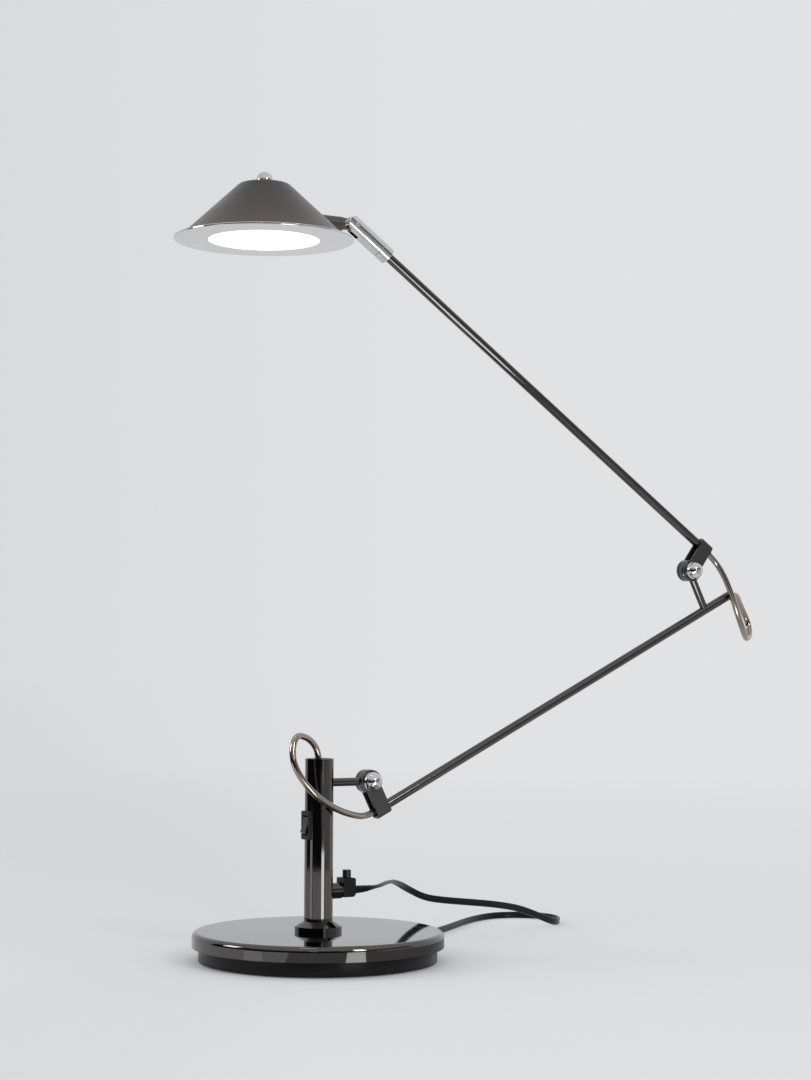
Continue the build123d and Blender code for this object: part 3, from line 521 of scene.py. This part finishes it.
class Look:
    """A node material in the making, with short calls for the nodes that every surface here uses."""

    def __init__(self, name):
        self.material = bpy.data.materials.new(name)
        self.material.use_nodes = True
        self.tree = self.material.node_tree
        self.shader = self.tree.nodes["Principled BSDF"]
        self.place = self.tree.nodes.new("ShaderNodeTexCoord")
        self.last_bump = None

    def node(self, kind, **inputs):
        """A new node of this kind with its inputs fed. Underscores stand for spaces in the inputs' names."""
        node = self.tree.nodes.new(kind)
        for key, value in inputs.items():
            feed(self.tree, node.inputs[key.replace("_", " ")], value)
        return node

    def stretched(self, scale, source="Object"):
        node = self.node("ShaderNodeMapping", Vector=self.place.outputs[source], Scale=scale)
        return node.outputs["Vector"]

    def noise(self, scale, detail, roughness=0.55, stretch=(1, 1, 1), source="Object"):
        where = self.stretched(stretch, source)
        node = self.node("ShaderNodeTexNoise", Vector=where, Scale=scale, Detail=detail, Roughness=roughness)
        return node.outputs["Fac"]

    def specks(self, size):
        """1 on small scattered dots and 0 between them."""
        node = self.node("ShaderNodeTexVoronoi", Vector=self.place.outputs["Object"], Scale=DUST_SCALE)
        return self.curve(node.outputs["Distance"], size * 0.5, size, 1.0, 0.0)

    def strands(self, stretch):
        """Slanting bands over the UVs, one for each unit once they are stretched."""
        where = self.stretched(stretch, "UV")
        node = self.node("ShaderNodeTexWave", Vector=where, Scale=1.0, Distortion=0.0)
        node.bands_direction = "DIAGONAL"
        return node.outputs["Fac"]

    def curve(self, value, low, high, to_low, to_high):
        """The value carried from the range low to high over to another range, and held at its ends."""
        node = self.node(
            "ShaderNodeMapRange", Value=value, From_Min=low, From_Max=high, To_Min=to_low, To_Max=to_high
        )
        return node.outputs["Result"]

    def colours(self, value, *stops):
        """A colour that follows the value through (position, colour) stops."""
        node = self.node("ShaderNodeValToRGB", Fac=value)
        ramp = node.color_ramp
        while len(ramp.elements) < len(stops):
            ramp.elements.new(0.5)
        for element, (at, colour) in zip(ramp.elements, stops):
            element.position = at
            element.color = (*colour, 1.0)
        return node.outputs["Color"]

    def blend(self, share, first, second):
        """The first colour, with a share of the second laid over it."""
        node = self.tree.nodes.new("ShaderNodeMix")
        node.data_type = "RGBA"
        for number, value in ((MIX_SHARE, share), (MIX_FIRST, first), (MIX_SECOND, second)):
            feed(self.tree, node.inputs[number], value)
        return node.outputs[MIX_RESULT]

    def product(self, a, b):
        node = self.tree.nodes.new("ShaderNodeMath")
        node.operation = "MULTIPLY"
        for socket, value in zip(node.inputs, (a, b)):
            feed(self.tree, socket, value)
        return node.outputs["Value"]

    def dusty(self, base, size=DUST_SIZE, share=DUST_SHARE, colour=DUST_COLOUR):
        """The base colour with a little dust on it."""
        return self.blend(self.product(self.specks(size), share), base, colour)

    def show(self, output):
        """Put a shader in the principled one's place."""
        self.tree.links.new(output, self.tree.nodes["Material Output"].inputs["Surface"])

    def bump(self, height, strength, distance):
        """Add relief on top of the relief that is already there."""
        node = self.node("ShaderNodeBump", Height=height, Strength=strength, Distance=distance)
        if self.last_bump is not None:
            self.tree.links.new(self.last_bump, node.inputs["Normal"])
        self.last_bump = node.outputs["Normal"]
        self.tree.links.new(self.last_bump, self.shader.inputs["Normal"])

    def wear(self, radius, low, high):
        """1 along sharp edges and 0 elsewhere, from how far a bevelled normal turns from the plain one."""
        bevel = self.node("ShaderNodeBevel", Radius=radius)
        plain = self.tree.nodes.new("ShaderNodeNewGeometry")
        dot = vector_maths(self.tree, "DOT_PRODUCT", bevel.outputs["Normal"], plain.outputs["Normal"])
        return self.curve(dot.outputs["Value"], high, low, 0.0, 1.0)

    def set(self, **values):
        """Set the shader's own sockets, and return the finished material."""
        for key, value in values.items():
            feed(self.tree, self.shader.inputs[key.replace("_", " ")], value)
        return self.material


def dark_metal(name, colour, tint, roughness, spread, peel, streak=(1, 1, 1)):
    """Dark metallic lacquer: faint uneven tint, smudges and a little dust in its gloss, and orange peel."""
    look = Look(name)
    cloud = look.noise(18.0, 4.0, stretch=streak)
    smudge = look.noise(55.0, 6.0, 0.65, stretch=streak)
    base = look.dusty(look.colours(cloud, (0.32, colour), (0.68, tint)))
    look.bump(look.noise(PEEL_SCALE, 2.0), peel, GRAIN_DEEP)
    rough = look.curve(smudge, 0.35, 0.75, roughness, roughness + spread)
    return look.set(Base_Color=base, Metallic=1.0, Roughness=rough)


def chrome(name):
    """Polished chrome with faint smudges and hairlines."""
    look = Look(name)
    colour = (0.66, 0.66, 0.67)
    smudge = look.noise(70.0, 5.0, 0.6)
    hair = look.noise(900.0, 2.0, 0.5, stretch=(1, 1, 0.06))
    base = look.colours(smudge, (0.35, colour), (0.75, tuple(c * 0.9 for c in colour)))
    look.bump(hair, 0.008, FINE_DEEP)
    return look.set(Base_Color=base, Metallic=1.0, Roughness=look.curve(smudge, 0.35, 0.8, 0.035, 0.12))


def steel(name):
    """Zinc-plated steel with turned rings and dull patches."""
    look = Look(name)
    patch = look.noise(140.0, 4.0)
    base = look.colours(patch, (0.35, (0.46, 0.47, 0.49)), (0.7, (0.58, 0.57, 0.54)))
    look.bump(look.noise(800.0, 2.0, stretch=(1, 1, 0.2)), 0.15, FINE_DEEP)
    return look.set(Base_Color=base, Metallic=1.0, Roughness=look.curve(patch, 0.3, 0.7, 0.28, 0.42))


def plastic(name, colour, light, roughness, grain, scuffs, shine):
    """Moulded plastic with a fine spark-eroded grain, paler worn edges, and scuffs where it is handled."""
    look = Look(name)
    cloud = look.noise(60.0, 4.0)
    base = look.colours(cloud, (0.3, colour), (0.75, light))
    edge = look.wear(0.0004, 0.86, 0.99)
    worn = look.product(edge, look.curve(look.noise(260.0, 4.0), 0.45, 0.7, 0.15, 0.6))
    base = look.blend(worn, base, (0.07, 0.07, 0.07))
    if scuffs:
        scratch = look.noise(95.0, 8.0, 0.75, stretch=(1, 1, 0.18))
        patch = look.noise(14.0, 2.0)
        scratched = look.curve(scratch, 0.62, 0.70, 0.0, 1.0)
        handled = look.curve(patch, 0.5, 0.62, 0.0, scuffs)
        base = look.blend(look.product(scratched, handled), base, (0.12, 0.12, 0.12))
    look.bump(look.noise(1500.0, 3.0, 0.7), grain, GRAIN_DEEP)
    rough = look.curve(cloud, 0.3, 0.7, roughness, roughness + 0.12)
    return look.set(Base_Color=base, Roughness=rough, Specular_IOR_Level=shine)


def sheath(name):
    """Clear jacket over a bronze-toned metal screen whose fine strands run along it with a slow twist."""
    look = Look(name)
    strands = look.strands((25.0, 9.0, 1.0))
    cloud = look.noise(60.0, 3.0)
    base = look.colours(cloud, (0.3, (0.31, 0.255, 0.215)), (0.7, (0.38, 0.33, 0.29)))
    base = look.blend(look.curve(strands, 0.0, 1.0, 0.0, 0.30), base, (0.24, 0.17, 0.12))
    look.bump(strands, 0.01, FINE_DEEP)
    return look.set(
        Base_Color=base,
        Metallic=1.0,
        Roughness=look.curve(cloud, 0.3, 0.7, 0.10, 0.16),
        Coat_Weight=0.8,
        Coat_Roughness=0.05,
    )


def shade_metal(name):
    """The shade's satin lacquer, with a painted warm reflection: browner and paler towards the rim."""
    look = Look(name)
    low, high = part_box("shade")
    split = look.node("ShaderNodeSeparateXYZ", Vector=look.place.outputs["Object"])
    height = look.curve(split.outputs["Z"], low[2], high[2], 0.0, 1.0)
    # Painted warm reflection: the colour turns browner and paler from the top down to the rim, standing in
    # for the lamp's warm light reflected there.
    base = look.colours(
        height,
        (0.0, (0.158, 0.122, 0.102)),
        (0.40, (0.104, 0.096, 0.090)),
        (1.0, (0.076, 0.074, 0.073)),
    )
    cloud = look.noise(26.0, 4.0)
    base = look.dusty(look.blend(look.curve(cloud, 0.3, 0.7, 0.0, 0.25), base, (0.085, 0.080, 0.077)))
    look.bump(look.noise(PEEL_SCALE, 2.0), 0.03, GRAIN_DEEP)
    return look.set(Base_Color=base, Metallic=1.0, Roughness=look.curve(cloud, 0.3, 0.75, 0.28, 0.36))


def cord_jacket(name):
    """Satin PVC with drawn lines along it and a little dust."""
    look = Look(name)
    drawn = look.noise(1.0, 3.0, 0.6, stretch=(12.0, 60.0, 1.0), source="UV")
    cloud = look.noise(40.0, 5.0)
    base = look.colours(cloud, (0.3, (0.004, 0.004, 0.004)), (0.75, (0.008, 0.008, 0.008)))
    base = look.dusty(base, 0.12, 0.25, (0.06, 0.06, 0.06))
    look.bump(drawn, 0.2, GRAIN_DEEP)
    rough = look.curve(drawn, 0.3, 0.7, 0.22, 0.32)
    return look.set(Base_Color=base, Roughness=rough, Specular_IOR_Level=0.20)


def felt(name):
    """Black felt with a short soft nap."""
    look = Look(name)
    fibre = look.noise(1300.0, 4.0, 0.8)
    base = look.colours(fibre, (0.3, (0.02, 0.02, 0.02)), (0.7, (0.07, 0.07, 0.07)))
    look.bump(fibre, 0.8, 0.0006)
    return look.set(Base_Color=base, Roughness=0.95, Sheen_Weight=0.3)


def cast(name):
    """Raw cast iron with a coarse skin."""
    look = Look(name)
    grain = look.noise(480.0, 5.0, 0.7)
    base = look.colours(grain, (0.35, (0.07, 0.07, 0.07)), (0.7, (0.16, 0.155, 0.15)))
    look.bump(grain, 0.7, 0.0008)
    return look.set(Base_Color=base, Metallic=0.6, Roughness=0.7)


def opal(name):
    """Opal diffuser, lit from behind: even and white, a touch warmer and dimmer at its rim."""
    look = Look(name)
    low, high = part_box("diffuser")
    centre = [(a + b) / 2 for a, b in zip(low, high)]
    away = [-value for value in centre]
    shift = look.node("ShaderNodeMapping", Vector=look.place.outputs["Object"], Location=away)
    gap = vector_maths(look.tree, "LENGTH", shift.outputs["Vector"])
    glow = look.colours(
        look.curve(gap.outputs["Value"], EVEN_TO, DIFFUSER_RADIUS, 0.0, 1.0),
        (0.0, (1.0, 0.965, 0.90)),
        (0.80, (0.95, 0.86, 0.72)),
        (1.0, (0.36, 0.25, 0.17)),
    )
    look.bump(look.noise(900.0, 2.0), 0.05, FINE_DEEP)
    return look.set(
        Base_Color=(0.9, 0.88, 0.84), Roughness=0.35, Emission_Color=glow, Emission_Strength=3.2
    )


def brass(name):
    """Brass with dull patches and fine turning marks."""
    look = Look(name)
    patch = look.noise(160.0, 4.0)
    base = look.colours(patch, (0.35, (0.72, 0.56, 0.30)), (0.7, (0.60, 0.45, 0.23)))
    look.bump(look.noise(900.0, 2.0, stretch=(1, 1, 0.3)), 0.1, FINE_DEEP)
    return look.set(Base_Color=base, Metallic=1.0, Roughness=look.curve(patch, 0.3, 0.7, 0.18, 0.32))


def board(name):
    """The white solder mask of the LED board."""
    look = Look(name)
    mask = look.noise(260.0, 3.0)
    base = look.colours(mask, (0.3, (0.74, 0.74, 0.72)), (0.7, (0.82, 0.82, 0.80)))
    look.bump(mask, 0.1, FINE_DEEP)
    return look.set(Base_Color=base, Roughness=0.4)


def build_lacquers():
    """The dark lacquers: a colour and its tint, roughness, how much that varies, orange peel, and streaks."""
    turned = (1, 1, 0.3)
    even = (1, 1, 1)
    rows = (
        ("base", (0.112, 0.109, 0.107), (0.122, 0.117, 0.114), 0.035, 0.035, 0.012, even),
        ("post", (0.100, 0.096, 0.093), (0.114, 0.108, 0.104), 0.04, 0.05, 0.02, turned),
        ("arm", (0.098, 0.095, 0.093), (0.118, 0.111, 0.106), 0.07, 0.05, 0.008, even),
        ("satin", (0.105, 0.100, 0.096), (0.120, 0.114, 0.109), 0.30, 0.06, 0.04, even),
        ("yoke", (0.085, 0.083, 0.082), (0.100, 0.097, 0.095), 0.33, 0.06, 0.03, even),
    )
    return {name: dark_metal(f"{name}_lacquer", *values) for name, *values in rows}


def build_plastics():
    """The mouldings: a colour and its paler cloud, roughness, grain, scuffs and shine."""
    rows = (
        ("black_plastic", (0.006, 0.006, 0.006), (0.011, 0.011, 0.011), 0.40, 0.25, 0.0, 0.20),
        ("tray_black", (0.004, 0.004, 0.004), (0.008, 0.008, 0.008), 0.30, 0.10, 0.6, 0.20),
        ("rocker_black", (0.005, 0.005, 0.005), (0.009, 0.009, 0.009), 0.16, 0.05, 0.0, 0.35),
        ("washer_plastic", (0.60, 0.59, 0.55), (0.68, 0.67, 0.63), 0.45, 0.20, 0.0, 0.50),
    )
    return {name: plastic(name, *values) for name, *values in rows}


def build_looks():
    """Give every CAD node and every piece made here its material."""
    lacquer = build_lacquers()
    moulded = build_plastics()
    bright = chrome("bright_chrome")
    zinc = steel("zinc_steel")
    groups = (
        (lacquer["base"], "base_cover post_collar"),
        (lacquer["post"], "post_tube cord_nipple"),
        (lacquer["arm"], "shoulder_stub elbow_stub shoulder_drum elbow_drum lower_arm_tube upper_arm_tube"),
        (lacquer["satin"], "head_stub"),
        (lacquer["yoke"], "lower_yoke upper_yoke"),
        (bright, "hinge_tongue rim_plate finial end_collar head_sleeve"),
        (bright, "shoulder_knob elbow_knob shoulder_bolt elbow_bolt"),
        (moulded["tray_black"], "base_tray"),
        (moulded["black_plastic"], "post_cap switch_housing cord_grip mains_plug"),
        (moulded["black_plastic"], "lower_arm_bushes upper_arm_bush"),
        (moulded["rocker_black"], "switch_rocker cord_grip_screw"),
        (moulded["washer_plastic"], "shoulder_washers elbow_washers led_chips"),
        (shade_metal("shade_lacquer_painted_glow"), "shade"),
        (opal("opal_diffuser"), "diffuser"),
        (board("led_board"), "led_board"),
        (brass("pin_brass"), "plug_pins"),
        (cast("cast_iron"), "base_weight"),
        (felt("foot_felt"), "base_pad"),
    )
    looks = {node: look for look, nodes in groups for node in nodes.split()}
    for node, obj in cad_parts.items():
        look = looks.get(node, zinc)
        if not obj.data.materials:
            obj.data.materials.append(look)
        for material_slot in obj.material_slots:
            material_slot.material = look
    jacket = cord_jacket("cord_jacket")
    wrap = sheath("cable_sheath")
    for piece, look, slot in (
        (lead, jacket, "cord_black"),
        (lead_relief, moulded["black_plastic"], "black_plastic"),
        (plug_relief, moulded["black_plastic"], "black_plastic"),
        (coil_tie, moulded["black_plastic"], "black_plastic"),
        (shoulder_loop, wrap, "cable_sheath"),
        (elbow_loop, wrap, "cable_sheath"),
    ):
        piece.data.materials.append(look)


build_looks()


# ---------------------------------------------------------------- floor, surroundings and lights
BACKDROP_DARK = (0.690, 0.693, 0.706, 1.0)
BACKDROP_PALE = (0.755, 0.762, 0.776, 1.0)
BACKDROP_TURN = (-0.26, 0.08)
SIDEWAYS = (0.8672, -0.4979, 0.0)
FLOOR_RADIUS = 14.0
FLOOR_SIDES = 96
FADED_AT = 3.0
FRONT = -117.7
TABLE_EDGE = 0.76
WALL_AWAY = 2.8
WALL_TOP = 0.75
CEILING = 1.9
ROOM_START = FRONT - 110
ROOM_SWEEP = 205
ROOM_SEGMENTS = 32
STRIP_SEGMENTS = 8
STRIP_NEAR = 0.118
STRIP_MIDDLE = 0.27
STRIP_HEIGHT = 0.003
STRIP_LAYER = 0.0003


def side_colour(tree, direction):
    """The surroundings' colour in a direction, a little darker on the head's side than on the elbow's."""
    dot = vector_maths(tree, "DOT_PRODUCT", direction, SIDEWAYS)
    share = tree.nodes.new("ShaderNodeMapRange")
    share.interpolation_type = "SMOOTHSTEP"
    tree.links.new(dot.outputs["Value"], share.inputs["Value"])
    share.inputs["From Min"].default_value, share.inputs["From Max"].default_value = BACKDROP_TURN
    colour = tree.nodes.new("ShaderNodeValToRGB")
    colour.color_ramp.elements[0].color = BACKDROP_DARK
    colour.color_ramp.elements[1].color = BACKDROP_PALE
    tree.links.new(share.outputs["Result"], colour.inputs["Fac"])
    return colour.outputs["Color"]


def greys(stops):
    """The same stops with each value as a grey colour."""
    return [(at, (value,) * 3) for at, value in stops]


def build_floor():
    """A pale matt floor whose far parts fade into the surroundings."""
    bm = bmesh.new()
    bmesh.ops.create_circle(bm, cap_ends=True, radius=FLOOR_RADIUS, segments=FLOOR_SIDES)
    floor = object_from("floor", bm)
    look = Look("floor")
    cloud = look.noise(2.2, 4.0)
    base = look.colours(cloud, (0.3, (0.745, 0.748, 0.757)), (0.7, (0.765, 0.768, 0.777)))
    look.bump(look.noise(260.0, 3.0), 0.03, GRAIN_DEEP)
    look.set(Base_Color=base, Roughness=look.curve(cloud, 0.3, 0.7, 0.60, 0.75), Specular_IOR_Level=0.0)
    far = vector_maths(look.tree, "LENGTH", look.place.outputs["Object"])
    fades = [(0.035, 0.12), (0.10, 0.42), (0.35, 0.70), (1.0, 1.0)]
    share = look.colours(look.curve(far.outputs["Value"], 0.0, FADED_AT, 0.0, 1.0), *greys(fades))
    outward = vector_maths(look.tree, "NORMALIZE", look.place.outputs["Object"])
    surroundings = side_colour(look.tree, outward.outputs["Vector"])
    glow = look.node("ShaderNodeEmission", Strength=1.0, Color=surroundings)
    mix = look.tree.nodes.new("ShaderNodeMixShader")
    for socket, output in zip(mix.inputs, (share, look.shader.outputs[0], glow.outputs[0])):
        look.tree.links.new(output, socket)
    look.show(mix.outputs[0])
    floor.data.materials.append(look.material)


def build_world():
    """Even pale surroundings, slightly darker on the side of the lamp's head."""
    world = bpy.data.worlds.new("surroundings")
    bpy.context.scene.world = world
    world.use_nodes = True
    tree = world.node_tree
    back = tree.nodes["Background"]
    place = tree.nodes.new("ShaderNodeTexCoord")
    tree.links.new(side_colour(tree, place.outputs["Generated"]), back.inputs["Color"])


def heading_vector(degrees):
    """The level direction at these degrees from the world's X axis."""
    angle = math.radians(degrees)
    return Vector((math.cos(angle), math.sin(angle), 0.0))


def glossy_only(obj):
    """Keep an object of the stage out of everything but reflections."""
    obj.visible_camera = False
    obj.visible_diffuse = False
    obj.visible_shadow = False
    obj.visible_transmission = False


def ring_band(name, rings, segments, start, sweep_deg):
    """Part of a band about the world's Z axis. rings are (radius, height, how far the ring is turned)."""
    bm = bmesh.new()
    rows = []
    for radius, height, turned in rings:
        row = []
        for k in range(segments + 1):
            spot = heading_vector(start + turned + sweep_deg * k / segments) * radius
            row.append(bm.verts.new((spot.x, spot.y, height)))
        rows.append(row)
    for a, b in zip(rows, rows[1:]):
        for j in range(segments):
            bm.faces.new((a[j], a[j + 1], b[j + 1], b[j]))
    return object_from(name, bm)


def graded_glow(name, stops, direction):
    """A glow that follows (distance, value) stops along a direction."""
    look = Look(name)
    dot = vector_maths(look.tree, "DOT_PRODUCT", look.place.outputs["Object"], direction)
    low, high = stops[0][0], stops[-1][0]
    scaled = [((at - low) / (high - low), value) for at, value in stops]
    share = look.curve(dot.outputs["Value"], low, high, 0.0, 1.0)
    glow = look.node("ShaderNodeEmission", Strength=1.0, Color=look.colours(share, *greys(scaled)))
    look.show(glow.outputs[0])
    return look.material


def even_glow(name, value):
    """The same glow all over."""
    look = Look(name)
    glow = look.node("ShaderNodeEmission", Strength=1.0, Color=(value,) * 3)
    look.show(glow.outputs[0])
    return look.material


def reflected_card(name, rings, segments, start, sweep_deg, material):
    """A card on the stage that only reflections see."""
    card = ring_band(name, rings, segments, start, sweep_deg)
    card.data.materials.append(material)
    glossy_only(card)


def build_dark_room():
    """The dark end of the studio, which only reflections see: the floor beyond the table and the wall, both
    grey on one side, and the upper wall that grows paler upwards."""
    rightwards = tuple(heading_vector(FRONT + 90))
    upwards = (0, 0, 1)
    floor_grey = [(-1.2, 0.02), (0.35, 0.02), (0.75, 0.42), (2.6, 0.50)]
    wall_grey = [(-2.6, 0.02), (1.0, 0.02), (2.2, 0.42), (2.7, 0.50)]
    fading = [(WALL_TOP, 0.03), (1.1, 0.10), (CEILING, 0.55)]
    sheets = (
        ("dark_floor", (TABLE_EDGE, 0.002, 0), (WALL_AWAY, 0.002, 0), floor_grey, rightwards),
        ("dark_wall", (WALL_AWAY, 0.0, 0), (WALL_AWAY, WALL_TOP, 0), wall_grey, rightwards),
        ("upper_wall", (WALL_AWAY, WALL_TOP, 0), (WALL_AWAY, CEILING, 0), fading, upwards),
    )
    for name, first, last, stops, direction in sheets:
        glow = graded_glow(name, stops, direction)
        reflected_card(name, (first, last), ROOM_SEGMENTS, ROOM_START, ROOM_SWEEP, glow)


def build_table_strips():
    """Bright, grey and dark strips on the table, which only the lamp's gloss shows. Each row is the strip's
    heading and width in degrees, its inner and outer ring as (radius, turn), and its brightness. Each lies a
    little above the one before it."""
    strips = (
        (22.0, 22.0, (STRIP_MIDDLE, 0), (1.0, 0), 5.5),
        (-71.0, 18.0, (STRIP_MIDDLE, 0), (1.3, 0), 1.35),
        (46.0, 4.0, (STRIP_MIDDLE, 0), (TABLE_EDGE, 0), 0.05),
        (-51.0, 4.0, (STRIP_MIDDLE, 0), (TABLE_EDGE, 0), 0.25),
        (-20.0, 150.0, (STRIP_NEAR, 0), (STRIP_MIDDLE, 0), 0.30),
        (27.5, 13.0, (STRIP_NEAR, -16), (STRIP_MIDDLE, -6), 2.6),
        (-68.0, 14.0, (STRIP_NEAR, 28), (STRIP_MIDDLE, 12), 1.0),
    )
    for number, (heading, wide, inner, outer, value) in enumerate(strips):
        name = f"table_strip_{number}"
        height = STRIP_HEIGHT + STRIP_LAYER * number
        rings = [(radius, height, turned) for radius, turned in (inner, outer)]
        reflected_card(name, rings, STRIP_SEGMENTS, FRONT + heading, wide, even_glow(name, value))


def area_light(name, heading, distance, height, aim, size, power, colour=(1, 1, 1)):
    """A soft box at a heading, distance and height from the post's foot, turned to face a point."""
    data = bpy.data.lights.new(name, "AREA")
    data.shape = "RECTANGLE"
    data.size, data.size_y = size
    data.energy = power
    data.color = colour
    light = bpy.data.objects.new(name, data)
    bpy.context.collection.objects.link(light)
    spot = heading_vector(heading) * distance
    light.location = (spot.x, spot.y, height)
    light.rotation_euler = (Vector(aim) - light.location).to_track_quat("-Z", "Y").to_euler()


def build_lights():
    """Two big boxes to the lamp's right and left, and two weak ones in front for the glints on its metal."""
    area_light("right_box", FRONT + 38, 2.0, 1.25, (0.05, 0, 0.2), (0.35, 0.5), 9.0)
    area_light("tall_box", FRONT + 31, 2.4, 0.35, (0.0, 0, 0.1), (0.5, 0.7), 0.7)
    area_light("warm_lamp", FRONT - 4, 2.2, 0.9, (0.0, 0, 0.1), (0.3, 0.12), 0.6, (1.0, 0.60, 0.28))
    area_light("left_box", FRONT - 88, 1.9, 0.95, (0.0, 0, 0.2), (0.6, 0.6), 9.0)


build_floor()
build_world()
build_dark_room()
build_table_strips()
build_lights()
